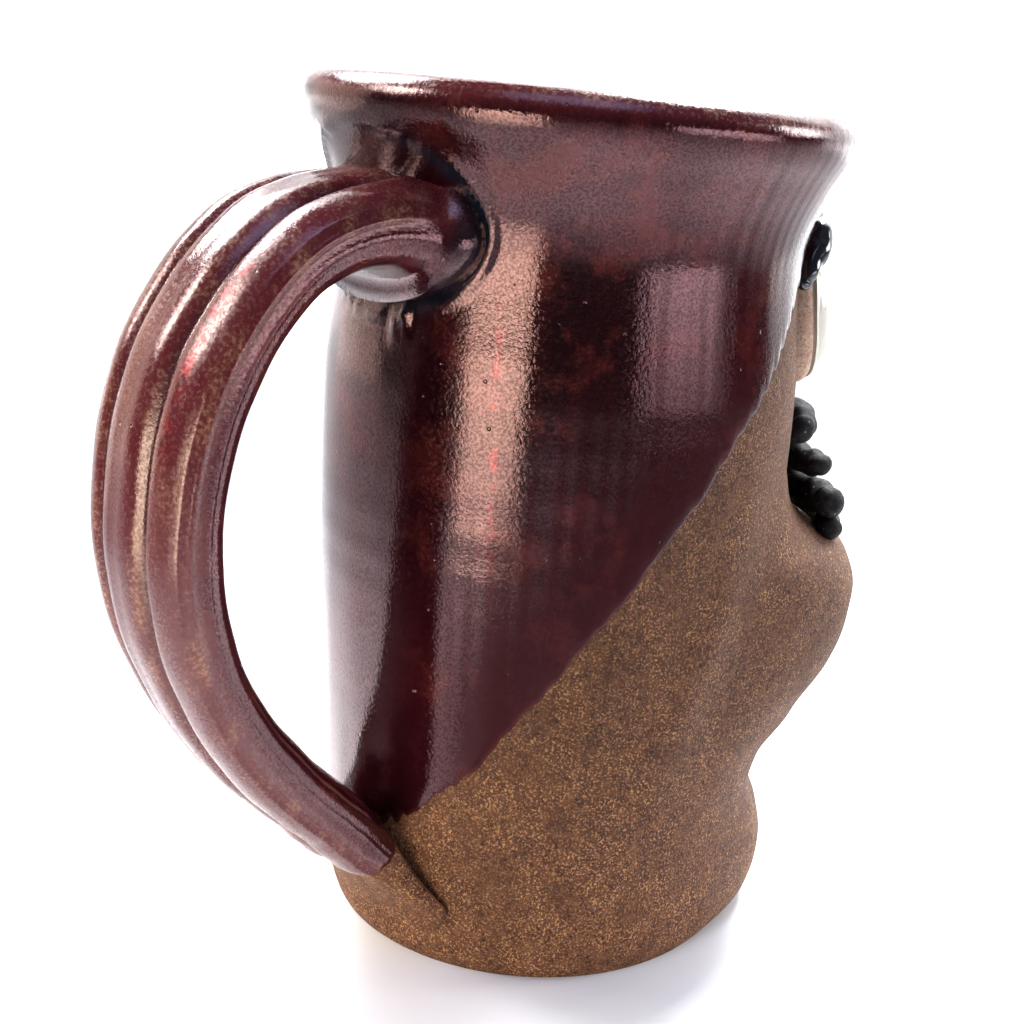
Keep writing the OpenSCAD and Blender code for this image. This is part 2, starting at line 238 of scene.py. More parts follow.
def skin(name, rings, node, material, loop=False, shades=None):
    """A closed mesh through a stack of rings of (x, y, z) in mm. The ends close on a middle point,
    and with loop set the last ring joins the first. shades are named values, one for each point."""
    rings = np.asarray(rings, float)
    m, n = rings.shape[:2]
    points = rings.reshape(-1, 3)
    if not loop:
        points = np.vstack([points, rings[0].mean(0), rings[-1].mean(0)])
    i = np.arange(n)
    k = (i + 1) % n
    faces = []
    for j in range(m if loop else m - 1):
        a, b = j * n, ((j + 1) % m) * n
        faces.append(np.stack([a + i, a + k, b + k, b + i], 1))
    quads = np.concatenate(faces)
    a, b, c, d = (points[quads[:, v]] for v in range(4))
    volume = np.sum(np.cross(a, b) * c) + np.sum(np.cross(a, c) * d)
    quads = quads.tolist()
    if not loop:
        quads += [[m * n, c, b] for b, c in zip(i.tolist(), k.tolist())]
        quads += [[m * n + 1, (m - 1) * n + b, (m - 1) * n + c] for b, c in zip(i.tolist(), k.tolist())]
    if volume < 0:                  # every face looks out of the piece
        quads = [q[::-1] for q in quads]
    mesh = bpy.data.meshes.new(name)
    mesh.from_pydata((points * MM).tolist(), [], quads)
    mesh.update()
    for shade, values in (shades or {}).items():
        flat = np.asarray(values, np.float32).reshape(-1)
        if not loop:
            flat = np.concatenate([flat, [flat[0], flat[-1]]])
        mesh.attributes.new(shade, "FLOAT", "POINT").data.foreach_set("value", flat.astype(np.float32))
    piece = bpy.data.objects.new(name, mesh)
    bpy.context.scene.collection.objects.link(piece)
    mesh.materials.append(material)
    smooth = np.ones(len(quads), bool)
    if not loop:
        smooth[-2 * n:] = False     # the ends keep their own flat shading
    mesh.polygons.foreach_set("use_smooth", smooth)
    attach(piece, "root")
    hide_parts(*([node] if isinstance(node, str) else node))
    return piece


# ---------------------------------------------------------------- materials

class Nodes:
    """A short way to write a node tree."""

    def __init__(self, name):
        self.material = bpy.data.materials.new(name)
        self.material.use_nodes = True
        self.tree = self.material.node_tree
        self.shader = self.tree.nodes["Principled BSDF"]
        self.place = self.new("ShaderNodeTexCoord").outputs["Object"]

    def new(self, kind, **settings):
        node = self.tree.nodes.new(kind)
        for key, value in settings.items():
            setattr(node, key, value)
        return node

    def link(self, source, target):
        if isinstance(source, bpy.types.NodeSocket):
            self.tree.links.new(source, target)
        else:
            target.default_value = source

    def noise(self, scale, detail=3.0, roughness=0.55, stretch=None, distortion=0.0):
        node = self.new("ShaderNodeTexNoise")
        place = self.place
        if stretch:
            mapping = self.new("ShaderNodeMapping")
            mapping.inputs["Scale"].default_value = stretch
            self.link(place, mapping.inputs["Vector"])
            place = mapping.outputs["Vector"]
        self.link(place, node.inputs["Vector"])
        node.inputs["Scale"].default_value = scale
        node.inputs["Detail"].default_value = detail
        node.inputs["Roughness"].default_value = roughness
        node.inputs["Distortion"].default_value = distortion
        return node.outputs["Fac"]

    def cells(self, scale, output="Distance", randomness=1.0):
        node = self.new("ShaderNodeTexVoronoi")
        self.link(self.place, node.inputs["Vector"])
        node.inputs["Scale"].default_value = scale
        node.inputs["Randomness"].default_value = randomness
        return node.outputs[output]

    def ramp(self, value, *stops):
        """A piecewise map: each stop is (position, grey or colour)."""
        node = self.new("ShaderNodeValToRGB")
        elements = node.color_ramp.elements
        while len(elements) < len(stops):
            elements.new(0.5)
        for element, (position, colour) in zip(elements, stops):
            element.position = position
            colour = (colour,) * 3 if isinstance(colour, (int, float)) else colour
            element.color = (*colour, 1)
        self.link(value, node.inputs["Fac"])
        return node.outputs["Color"]

    def mix(self, share, a, b, kind="MIX"):
        node = self.new("ShaderNodeMix", data_type="RGBA", blend_type=kind)
        self.link(share, node.inputs[0])
        self.link((*a, 1) if isinstance(a, tuple) else a, node.inputs[6])
        self.link((*b, 1) if isinstance(b, tuple) else b, node.inputs[7])
        return node.outputs[2]

    def maths(self, kind, a, b=0.0, clamp=False):
        node = self.new("ShaderNodeMath", operation=kind, use_clamp=clamp)
        self.link(a, node.inputs[0])
        self.link(b, node.inputs[1])
        return node.outputs[0]

    def value(self, attribute):
        node = self.new("ShaderNodeAttribute", attribute_name=attribute)
        return node.outputs["Fac"]

    def bump(self, height, distance, strength=1.0, under=None):
        node = self.new("ShaderNodeBump")
        node.inputs["Strength"].default_value = strength
        node.inputs["Distance"].default_value = distance
        self.link(height, node.inputs["Height"])
        if under is not None:
            self.link(under, node.inputs["Normal"])
        return node.outputs["Normal"]


def painted_bounce_share(n):
    """Share of painted light on the clay: lighter round the foot and on the handle's tail, standing in for
    fill and floor bounce light.
    """
    split = n.new("ShaderNodeSeparateXYZ")
    n.link(n.place, split.inputs[0])
    foot = n.ramp(n.maths("MULTIPLY", split.outputs["Z"], 20.0), (0.0, 1), (0.3, 0.5), (0.9, 0))
    reach = n.new("ShaderNodeVectorMath", operation="DISTANCE")
    n.link(n.place, reach.inputs[0])
    reach.inputs[1].default_value = (0.0, 0.044, 0.014)
    tail = n.ramp(n.maths("MULTIPLY", reach.outputs["Value"], 10.0), (0.12, 0.8), (0.5, 0))
    return n.maths("MAXIMUM", foot, tail)


def clay_material(name, dark, middle, light, grog_colour, grog_from=0.53, roughness=0.72, painted_bounce=False):
    """Unglazed stoneware: a grainy body with pale grains of grog, iron specks and pits."""
    n = Nodes(name)
    broad = n.noise(38, 3, 0.6)
    grain = n.noise(2100, 3, 0.7)
    mottle = n.noise(520, 3, 0.65)
    colour = n.mix(n.ramp(broad, (0.34, 0), (0.68, 1)), dark, middle)
    colour = n.mix(n.ramp(mottle, (0.42, 0), (0.66, 0.8)), colour, light)
    colour = n.mix(n.ramp(grain, (0.32, 0.75), (0.50, 0)), colour, tuple(0.3 * c for c in dark))
    grog = n.ramp(n.noise(2700, 3, 0.65), (grog_from, 0), (grog_from + 0.09, 1))
    few = n.ramp(n.noise(160, 2), (0.34, 0.35), (0.62, 1))
    rosy = n.ramp(n.noise(700, 2), (0.42, 0), (0.6, 1))
    grog_tone = n.mix(rosy, grog_colour, tuple(k * c for k, c in zip((0.72, 0.72, 1.05), grog_colour)))
    colour = n.mix(n.maths("MULTIPLY", grog, few), colour, grog_tone)
    iron = n.ramp(n.cells(330), (0.085, 1), (0.13, 0))
    colour = n.mix(n.maths("MULTIPLY", iron, 0.85), colour, (0.012, 0.008, 0.007))
    # Painted light: the clay is brightened round the foot and on the handle's tail in place of fill and
    # floor bounce light.
    if painted_bounce:
        colour = n.mix(1.0, colour, n.mix(painted_bounce_share(n), (1.0, 1.0, 1.0), (1.75, 1.75, 1.75)), "MULTIPLY")
    n.link(colour, n.shader.inputs["Base Color"])
    rough = n.ramp(grain, (0.3, roughness + 0.12), (0.7, roughness - 0.15))
    n.link(rough, n.shader.inputs["Roughness"])
    n.shader.inputs["Specular IOR Level"].default_value = 0.2
    pits = n.ramp(n.cells(520), (0.05, 0), (0.16, 1))
    first = n.bump(mottle, 0.0003, 0.5)
    second = n.bump(grain, 0.00018, 0.8, first)
    third = n.bump(grog, 0.0001, 0.6, second)
    n.link(n.bump(pits, 0.0002, 0.5, third), n.shader.inputs["Normal"])
    return n.material


def oxblood_material(name):
    """Dark copper-red glaze. It turns crimson, then tan, where it is thin, and pools blue-black."""
    n = Nodes(name)
    thin, pool, flash, deep, dry = (n.value(v) for v in ("thin", "pool", "flash", "deep", "dry"))
    clouds = n.noise(24, 4, 0.6, stretch=(1, 1, 0.45))
    runs = n.noise(120, 3, 0.6, stretch=(1, 1, 0.12))
    grain = n.noise(1700, 2, 0.6)
    patches = n.noise(230, 3, 0.65, stretch=(1, 1, 0.22))
    colour = n.mix(n.ramp(clouds, (0.36, 0), (0.66, 1)), (0.0070, 0.0008, 0.0018), (0.030, 0.0026, 0.0046))
    colour = n.mix(n.ramp(runs, (0.48, 0), (0.72, 0.45)), colour, (0.045, 0.006, 0.006))
    rust = n.ramp(n.noise(95, 4, 0.6), (0.52, 0), (0.64, 0.7))
    rust = n.maths("MULTIPLY", rust, n.ramp(grain, (0.4, 0.5), (0.6, 1)))
    colour = n.mix(rust, colour, (0.095, 0.016, 0.013))
    # Painted reflection: a dark band beside the handle, standing in for the handle's dark reflection in the
    # glaze.
    colour = n.mix(n.maths("MULTIPLY", deep, 0.85), colour, (0.0050, 0.0009, 0.0018))
    colour = n.mix(n.maths("MULTIPLY", dry, 0.6), colour, (0.024, 0.0035, 0.0045))
    colour = n.mix(n.ramp(thin, (0.05, 0), (0.45, 0.9)), colour, (0.080, 0.0105, 0.015))
    tan = n.mix(n.ramp(grain, (0.38, 0), (0.62, 1)), (0.080, 0.022, 0.018), (0.27, 0.125, 0.080))
    breaks = n.ramp(patches, (0.48, 0.04), (0.64, 1))
    breaks = n.maths("MULTIPLY", n.ramp(thin, (0.25, 0), (0.85, 1)), breaks)
    colour = n.mix(breaks, colour, tan)
    # Painted highlight: where thin reaches 1, along the top of the lip, the colour turns pale as a painted
    # reflection of bright light overhead.
    colour = n.mix(n.ramp(thin, (0.95, 0), (1, 0.85)), colour, (0.46, 0.40, 0.36))
    colour = n.mix(pool, colour, (0.003, 0.006, 0.011))
    dashes = n.maths("MULTIPLY", flash, n.ramp(n.noise(420, 2), (0.48, 0), (0.56, 1)))
    dashes = n.maths("MULTIPLY", dashes, n.ramp(grain, (0.38, 0.25), (0.56, 1)))
    colour = n.mix(dashes, colour, (0.62, 0.006, 0.022))
    dots = n.ramp(n.cells(300), (0.05, 1), (0.1, 0))
    dots = n.maths("MULTIPLY", dots, n.ramp(n.noise(90, 2), (0.5, 0), (0.56, 1)))
    colour = n.mix(n.maths("MULTIPLY", dots, 0.8), colour, (0.006, 0.003, 0.004))
    n.link(colour, n.shader.inputs["Base Color"])
    dull = n.maths("MULTIPLY", n.ramp(thin, (0.15, 0), (0.4, 1)), n.ramp(runs, (0.35, 0.1), (0.65, 0.5)))
    n.link(n.maths("ADD", n.ramp(grain, (0.50, 0.045), (0.60, 0.20)), n.maths("MULTIPLY", dull, 0.4)),
           n.shader.inputs["Roughness"])
    sheen = n.ramp(n.noise(2600, 2, 0.6), (0.42, 0.34), (0.58, 0.64))
    n.link(n.maths("MULTIPLY", sheen, n.ramp(dry, (0, 1), (1, 0.16))), n.shader.inputs["Specular IOR Level"])
    n.shader.inputs["IOR"].default_value = 1.7
    n.link(n.mix(n.ramp(thin, (0.08, 0), (0.4, 1)), (1.0, 0.58, 0.60), (1.0, 0.76, 0.72)),
           n.shader.inputs["Specular Tint"])
    grit = n.bump(grain, 0.00005, 0.9)
    holes = n.ramp(n.cells(210), (0.03, 0), (0.07, 1))
    n.link(n.bump(holes, 0.0002, 0.55, grit), n.shader.inputs["Normal"])
    return n.material


def white_material(name):
    n = Nodes(name)
    colour = n.mix(n.ramp(n.noise(90, 3), (0.35, 0), (0.7, 1)), (0.60, 0.57, 0.47), (0.70, 0.68, 0.59))
    stain = n.ramp(n.cells(420), (0.05, 0.8), (0.1, 0))
    colour = n.mix(stain, colour, (0.25, 0.17, 0.1))
    n.link(colour, n.shader.inputs["Base Color"])
    n.link(n.ramp(n.noise(500, 2), (0.3, 0.1), (0.7, 0.24)), n.shader.inputs["Roughness"])
    n.link(n.bump(n.noise(240, 2), 0.00016, 0.7), n.shader.inputs["Normal"])
    return n.material


def black_glaze_material(name):
    n = Nodes(name)
    colour = n.mix(n.ramp(n.noise(160, 3), (0.4, 0), (0.7, 1)), (0.003, 0.004, 0.007), (0.012, 0.018, 0.028))
    n.link(colour, n.shader.inputs["Base Color"])
    n.link(n.ramp(n.noise(700, 2), (0.3, 0.06), (0.7, 0.18)), n.shader.inputs["Roughness"])
    n.shader.inputs["IOR"].default_value = 1.8
    n.link(n.bump(n.noise(300, 2), 0.00012, 0.6), n.shader.inputs["Normal"])
    return n.material


def black_clay_material(name):
    n = Nodes(name)
    grain = n.noise(1100, 4, 0.7)
    colour = n.mix(n.ramp(grain, (0.4, 0), (0.7, 1)), (0.005, 0.0045, 0.005), (0.020, 0.016, 0.016))
    colour = n.mix(n.ramp(n.cells(600), (0.07, 0.9), (0.13, 0)), colour, (0.2, 0.15, 0.12))
    n.link(colour, n.shader.inputs["Base Color"])
    n.link(n.ramp(grain, (0.3, 0.75), (0.7, 0.5)), n.shader.inputs["Roughness"])
    n.shader.inputs["Specular IOR Level"].default_value = 0.14
    first = n.bump(n.noise(330, 3), 0.0003, 0.6)
    n.link(n.bump(grain, 0.00012, 0.8, first), n.shader.inputs["Normal"])
    return n.material


bare_clay = clay_material("bare_clay_look", (0.044, 0.016, 0.008), (0.080, 0.031, 0.015),
                          (0.12, 0.050, 0.022), (0.40, 0.21, 0.085), painted_bounce=True)
pale_clay = clay_material("pale_clay_look", (0.48, 0.30, 0.20), (0.64, 0.44, 0.32),
                          (0.74, 0.55, 0.42), (0.82, 0.66, 0.52), 0.60, 0.6)
oxblood = oxblood_material("oxblood_look")
white_glaze = white_material("white_glaze_look")
black_glaze = black_glaze_material("black_glaze_look")
black_clay = black_clay_material("black_clay_look")


# ---------------------------------------------------------------- the cup and its coats

ring_azimuth = np.arange(AROUND) * 360.0 / AROUND


def make_body():
    s = np.concatenate([np.linspace(0, TOP_S, 230), np.linspace(TOP_S, END_S, 130)[1:]])
    foot = [clay_form(ring_azimuth, 0.0) * np.array([k, k, 1]) for k in (0.04, 0.4, 0.8, 0.95)]
    rings = foot + [clay_form(ring_azimuth, v) for v in s]
    rings += [rings[-1] * np.array([k, k, 1]) for k in (0.6, 0.3, 0.04)]
    skin("clay_body", rings, "body", bare_clay)


def make_outer_glaze():
    """The coat, with its shades: thin, pooled, crimson run, a painted dark reflection of the handle beside
    it, dry lower part, and a painted highlight along the top of the lip.
    """
    rows = 150
    edge_z = dip_line(ring_azimuth)
    edge_s = np.interp(edge_z, outline[:LIP_TOP * 12, 1], outline_s[:LIP_TOP * 12])
    share = np.linspace(0, 1, rows) ** 1.5
    slope = np.gradient(np.append(edge_z, edge_z[:1]))[:-1]
    slope /= math.radians(360.0 / AROUND) * BELLY_R
    across_edge = 1 / np.sqrt(1 + slope ** 2)
    runs = ripple(31, 12, (8, 40), (60, 200))
    out_rings, in_rings, thin, pool, flash, deep, dry = [], [], [], [], [], [], []
    for t in share:
        s = edge_s + (INNER_EDGE_S - edge_s) * t
        from_edge = (s - edge_s) * across_edge
        to_end = INNER_EDGE_S - s
        coat = COAT_T * np.sqrt(np.clip(1 - (1 - np.clip(from_edge / 2.4, 0, 1)) ** 2, 0, 1))
        coat += 0.012 * runs(ring_azimuth, s)
        z = np.interp(s, outline_s, outline[:, 1])
        a = turned(ring_azimuth)
        pad_ring = np.sqrt((a_from(180, a) * BELLY_R / PAD_RIM_W) ** 2 + ((z - PAD_RIM_Z) / PAD_RIM_H) ** 2)
        coat += 0.55 * bump_at(pad_ring, 1.04, 0.035)
        coat *= np.clip(to_end / 1.5, 0.05, 1)
        for drip_a, drip_z, size in ((-169.5, 107.5, 1.0), (-172.5, 105.8, 0.8)):
            coat += size * 0.9 * bump_at(a, drip_a, 1.5) * bump_at(z, drip_z, 2.6 * size)
        out_rings.append(clay_form(ring_azimuth, s, coat))
        in_rings.append(clay_form(ring_azimuth, s, -0.15))
        # Glaze breaking over the lip's outer face, and a painted highlight along the lip's top, where thin
        # is pushed to 1.
        lip_break_and_highlight = 0.6 * bump_at(s, TOP_S - 2.6, 1.3) + 1.4 * bump_at(s, TOP_S, 1.3)
        thin.append(np.clip(0.25 * bump_at(from_edge, 0.0, 0.6) + lip_break_and_highlight, 0, 1))
        pool.append(np.clip(1.3 * bump_at(pad_ring, 0.99, 0.07), 0, 1))
        line_z = bump_at(z, 94, 11) ** 0.5
        flash.append(line_z * bump_at(a_from(-145.6 - 0.05 * (z - 94), a) * BELLY_R, 0, 0.42))
        # Painted reflection: share of the dark band beside the handle, the handle's reflection painted into
        # the glaze.
        deep.append(bump_at(turned(a + 170), 0, 13))
        inland = np.clip((from_edge - 6) / 26, 0, 1)
        dry.append((1 - inland * inland * (3 - 2 * inland)) * np.clip((a_from(-158, a) + 0.05) / 0.22, 0, 1)
                   * np.clip((1.5 - np.abs(a_from(-90, a))) / 0.6, 0, 1))
    rings = out_rings + in_rings[::-1]
    zeros = [np.zeros(AROUND)] * rows
    skin("glaze_outside", rings, "outer_glaze", oxblood, loop=True,
         shades={"thin": thin + zeros, "pool": pool + zeros, "flash": flash + zeros, "deep": deep + zeros,
                 "dry": dry + zeros})


def a_from(middle, azimuth):
    """Angle from a middle azimuth, in radians."""
    return np.radians(turned(azimuth - middle))


def make_liner():
    s = np.linspace(INNER_EDGE_S - 0.3, END_S, 110)
    out_rings = [clay_form(ring_azimuth, v, LINER_T * min(1, 0.1 + (v - s[0]) / 2)) for v in s]
    out_rings += [out_rings[-1] * np.array([k, k, 1]) for k in (0.5, 0.04)]
    in_rings = [clay_form(ring_azimuth, v, -0.15) for v in s]
    in_rings += [in_rings[-1] * np.array([k, k, 1]) for k in (0.5, 0.04)]
    rings = in_rings[::-1] + out_rings
    thin = [np.full(AROUND, 0.5 * bump_at(v, s[0], 1.5)) for v in s]
    skin("glaze_inside", rings, "liner_glaze", oxblood,
         shades={"thin": [thin[0] * 0] * len(in_rings) + thin + [thin[-1]] * 2,
                 "pool": np.zeros((len(rings), AROUND))})


# ---------------------------------------------------------------- the pulled strap

HANDLE_PATH = [
    (38.5, 120.8), (43, 122), (51, 121.4), (59.5, 117.5), (68, 107.5), (73.7, 94.5), (75.8, 78),
    (73.2, 62), (66.5, 48), (57.5, 36.5), (50, 29.2), (44.5, 23.5), (39.6, 17.5), (37.8, 11.5), (36.7, 7)]
STATIONS = 230
SECTION = 168
PAD_STOP = 1.33                 # where the pad hands over to the strap, and the strap to the tail
TAIL_STOP = 11.45


def handle_line():
    """Evenly spaced points of the handle's centre line, and the path stop that each one is at."""
    fine = through(HANDLE_PATH, 40)
    stop = np.arange(len(fine)) / 40
    length = np.concatenate([[0], np.cumsum(np.hypot(*np.diff(fine, axis=0).T))])
    even = np.linspace(0, length[-1], STATIONS)
    places = np.stack([np.interp(even, length, fine[:, k]) for k in (0, 1)], 1)
    for _ in range(60):         # easing rounds take the kinks out of the curve
        places[1:-1] += 0.25 * (places[2:] + places[:-2] - 2 * places[1:-1])
    return places, np.interp(even, length, stop)


line, stops_at = handle_line()
PAD_END = int(np.searchsorted(stops_at, PAD_STOP))
TAIL_START = int(np.searchsorted(stops_at, TAIL_STOP))
# Width and thickness of the strap at the stops of its path
width_at = smooth_table([(0, 37.8), (0.25, 36), (0.6, 34.6), (1.2, 33.4), (2, 32), (4.7, 29), (8, 26.2),
                         (11, 26), (12, 29), (13, 36), (14, 31)])
thick_at = smooth_table([(0, 23), (0.25, 19), (0.6, 16.2), (1.2, 13.8), (2, 12.2), (3, STRAP_T),
                         (11, STRAP_T - 0.8), (12, 7), (13, 3.4), (14, 1.2)])


def strap_section(i):
    """One ring of the strap at station i, and its shades: thin, pooled and crimson glaze."""
    at = stops_at[i]
    centre = line[i]
    ahead = unit(line[min(i + 1, STATIONS - 1)] - line[max(i - 1, 0)])
    outward = np.array([-ahead[1], ahead[0]])
    angle = np.arange(SECTION) * 2 * math.pi / SECTION
    c, s = np.cos(angle), np.sin(angle)
    square = 0.62 if at > 1.5 else 0.62 + 0.34 * (1.5 - at) / 1.5
    across = -np.sign(c) * np.abs(c) ** square
    up = np.sign(s) * np.abs(s) ** square
    width, thick = width_at(at) / 2, thick_at(at) / 2
    depth = np.clip((at - 0.4) / 1.2, 0, 1) * np.clip((12.6 - at) / 1.4, 0, 1)
    outer = np.clip(up * 3, 0, 1)
    near, far = -0.36 + 0.02 * math.sin(at * 1.7), 0.5 + 0.02 * math.sin(at * 1.3 + 1)
    valley = 1.5 * bump_at(across, near, 0.12) + 1.0 * bump_at(across, far, 0.10)
    slit = 0.5 * bump_at(across, near, 0.035) + 0.4 * bump_at(across, far, 0.03)
    crown = 0.35 * bump_at(across, 0.07, 0.25) - 0.3 * bump_at(across, 0.12, 0.05)
    side = np.clip(np.abs(across) * 5 - 4, 0, 1)
    lines = 0.34 * bump_at(up, -0.1, 0.12) + 0.3 * bump_at(up, 0.32, 0.08) + 0.26 * bump_at(up, 0.62, 0.06)
    swell = 0.10 * math.sin(at * 3.1) + 0.06 * math.sin(at * 7.3 + 1)
    h = thick * up + depth * outer * (crown - valley - slit) + swell * up
    w = width * across + depth * lines * np.sign(across) * side
    ring = np.stack([w, centre[0] + outward[0] * h, centre[1] + outward[1] * h], -1)
    wall = thrown_r(ring[:, 2])
    ring[:, 1] -= np.clip((at - 11.2) / 1.8, 0, 1) * (wall - np.sqrt(wall ** 2 - w ** 2))
    crest = (bump_at(across, near - 0.17, 0.05) + bump_at(across, near + 0.16, 0.06)
             + bump_at(across, far - 0.15, 0.05) + bump_at(across, far + 0.14, 0.05)) * outer
    corner = bump_at(np.abs(across), 0.97, 0.04) * bump_at(up, 0.3, 0.35)
    thin = np.clip((0.5 * crest + 0.35 * corner) * depth + 0.34 * outer + 0.1, 0, 1)
    pool = depth * outer * (0.75 * bump_at(across, near, 0.05) + 0.6 * bump_at(across, far, 0.04))
    flash = bump_at(across, -0.66, 0.06) * bump_at(at, 3.9, 0.8) * outer
    return ring, thin, np.clip(pool, 0, 1), flash


def clear_of_wall(ring, by):
    """The ring kept at least this far out of the cup's wall, with a soft meeting."""
    wall_y = np.sqrt(np.clip(thrown_r(ring[:, 2]) ** 2 - ring[:, 0] ** 2, 1, None)) + by
    gap = ring[:, 1] - wall_y
    soft = 0.7
    ring = ring.copy()
    ring[:, 1] = wall_y + 0.5 * (gap + np.sqrt(gap * gap + soft * soft))
    return ring


def strap_rings(first, last, tuck_first=0, tuck_last=0):
    """Rings of the handle between two stations. Each tuck is a number of further, slightly smaller
    rings that run inside the next piece, so the joint between two pieces is a clean line."""
    rings, thin, pool, flash = [], [], [], []
    for i in range(first - tuck_first, last + tuck_last + 1):
        ring, t, p, f = strap_section(i)
        beyond = max(first - i, i - last, 0)
        middle = np.array([0, *line[i]])
        ring = middle + (ring - middle) * (1 - 0.003 * beyond)
        near_wall = stops_at[i] < 1.6 or stops_at[i] > 10.5
        rings.append(clear_of_wall(ring, -0.9) if near_wall else ring)
        thin.append(t)
        pool.append(p)
        flash.append(f)
    return rings, thin, pool, flash


def make_handle():
    rings, thin, pool, flash = strap_rings(PAD_END, TAIL_START, 2, 0)
    skin("strap", rings, "handle", oxblood,
         shades={"thin": thin, "pool": pool, "flash": flash})

    rings, thin, pool, flash = strap_rings(0, PAD_END, 0, 2)
    root = rings[0].copy()
    root[:, 1] = np.sqrt(thrown_r(root[:, 2]) ** 2 - root[:, 0] ** 2) - 1.5
    near = [np.clip(1 - i / 3, 0, 1) for i in range(len(rings) + 1)]
    pool = [np.maximum(p, n) for p, n in zip([pool[0]] + pool, near)]
    skin("strap_pad", [root] + rings, "handle_upper_pad", oxblood,
         shades={"thin": [thin[0]] + thin, "pool": pool})

    rings = strap_rings(TAIL_START, STATIONS - 1, 3, 0)[0]
    skin("strap_tail", rings, "handle_tail", bare_clay)


# ---------------------------------------------------------------- the face

def arc_degrees(length):
    return np.degrees(length / BELLY_R)


def white_h(share):
    return EYE_PAD_T + EYE_RISE * np.clip(1 - share ** 2.4, 0, 1) ** 0.6


def oval_ring(side, z, share, out, count=96):
    """A ring on the wall round the middle of an eye, at a share of the eye's outline."""
    t = np.arange(count) * 2 * math.pi / count
    wobble = 1 + 0.012 * np.sin(3 * t + side) + 0.008 * np.sin(5 * t)
    u, v = np.cos(t) * EYE_HALF_W * share * wobble, np.sin(t) * EYE_HALF_H * share * wobble
    return on_wall(side * EYE_AZIMUTH + arc_degrees(u), z + v, out)


def make_eye(side, word):
    levels = [(0.99, -0.7), (1.02, 0.4), (1.035, EYE_PAD_T * 0.4), (1.03, EYE_PAD_T * 0.7),
              (1.0, EYE_PAD_T * 0.92), (0.96, EYE_PAD_T), (0.5, EYE_PAD_T)]
    rings = [oval_ring(side, EYE_Z, share, out) for share, out in levels]
    skin(f"eye_slab_{word}", rings, f"eye_pad_{word}", pale_clay)

    shares = np.concatenate([[0.985, 0.99], np.linspace(0.96, 0.04, 30)])
    rings = [oval_ring(side, WHITE_Z, share, EYE_PAD_T - under)
             for share, under in ((0.9, 0.3), (0.98, 0.1))]
    rings += [oval_ring(side, WHITE_Z, share, white_h(share)) for share in shares]
    skin(f"eye_ball_{word}", rings, f"eye_white_{word}", white_glaze)

    rings = []
    for share, rise in ((1.0, -0.5), (1.0, 0.1), (0.93, 0.35), (0.8, 0.5), (0.5, 0.58), (0.1, 0.6)):
        t = np.arange(64) * 2 * math.pi / 64
        u = np.cos(t) * PUPIL_R * share
        v = np.sin(t) * PUPIL_R * share
        inward = -side * PUPIL_INWARD
        where = np.hypot((u + inward) / EYE_HALF_W, v / EYE_HALF_H)
        azimuth = side * EYE_AZIMUTH + arc_degrees(u + inward)
        rings.append(on_wall(azimuth, WHITE_Z + v, white_h(where) + rise))
    skin(f"pupil_spot_{word}", rings, f"pupil_{word}", black_glaze)


def make_coil(name, side, route, node, material, seed, lumpy=0.06):
    """A hand-rolled coil of clay. Each stop is azimuth, height, stand-off and radius."""
    count, steps, ends = 40, 14, 8
    stops = through(route, steps)
    places = placed(side * stops[:, 0], thrown_r(stops[:, 1]) + stops[:, 2], stops[:, 1])
    heading = unit(np.gradient(places, axis=0))
    rng = np.random.RandomState(seed)
    phases = rng.uniform(0, 6.28, 6)
    angle = np.arange(count) * 2 * math.pi / count

    def ring(place, ahead, radius, along):
        outward = unit(np.array([place[0], place[1], 0.0]))
        o = unit(outward - ahead * (outward @ ahead))
        b = np.cross(ahead, o)
        lump = (1 + lumpy * np.sin(2 * angle + phases[0] + along * 0.35)
                + lumpy * 0.8 * math.sin(along * 0.55 + phases[1])
                + lumpy * 0.6 * np.sin(3 * angle + phases[2] - along * 0.5))
        r = radius * lump
        return place + o * (r * np.cos(angle))[:, None] + b * (r * np.sin(angle))[:, None]

    rings = []
    for k in range(ends):
        t = math.pi / 2 * (1 - (k + 0.35) / ends)
        rings.append(ring(places[0] - heading[0] * stops[0, 3] * math.sin(t), heading[0],
                          stops[0, 3] * math.cos(t), 0))
    rings += [ring(p, h, r, i) for i, (p, h, r) in enumerate(zip(places, heading, stops[:, 3]))]
    for k in range(ends):
        t = math.pi / 2 * (k + 1) / (ends + 0.35)
        rings.append(ring(places[-1] + heading[-1] * stops[-1, 3] * math.sin(t), heading[-1],
                          stops[-1, 3] * math.cos(t), len(stops)))
    if side < 0:
        rings = [r[::-1] for r in rings]
    return skin(name, rings, node, material)


BROW = [(10, 120.4, 2.1, 2.2), (18, 122, 2.9, 2.9), (28, 122.2, 3.2, 3.1), (37, 120.2, 3.1, 2.8),
        (42.5, 116.8, 2.1, 2), (45, 113.5, 1, 1.2)]
CURLS = [
    [(4.5, 85.5, 3, 2.3), (13, 86.5, 3.8, 2.6), (23, 87.6, 3.8, 2.8), (32, 88.4, 3.2, 2.9),
     (38.5, 87.6, 2.3, 2.6)],
    [(4, 80.5, 3.4, 2.2), (13, 80.9, 4.4, 2.5), (23, 81, 4.9, 2.5), (31, 80.6, 5.7, 2.4),
     (37, 81.2, 6.8, 2.1)],
    [(3.8, 75.7, 5.2, 2.2), (13, 75.4, 6.2, 2.5), (23, 75.2, 7, 2.7), (31, 74.6, 8.2, 2.8),
     (37, 74.6, 9.4, 2.7)],
    [(3.4, 71.2, 10, 2), (12, 70.8, 11, 2.1), (22, 70.4, 11.2, 2.2), (30, 70, 11, 2.2),
     (36.5, 69.6, 10.2, 2.2)]]
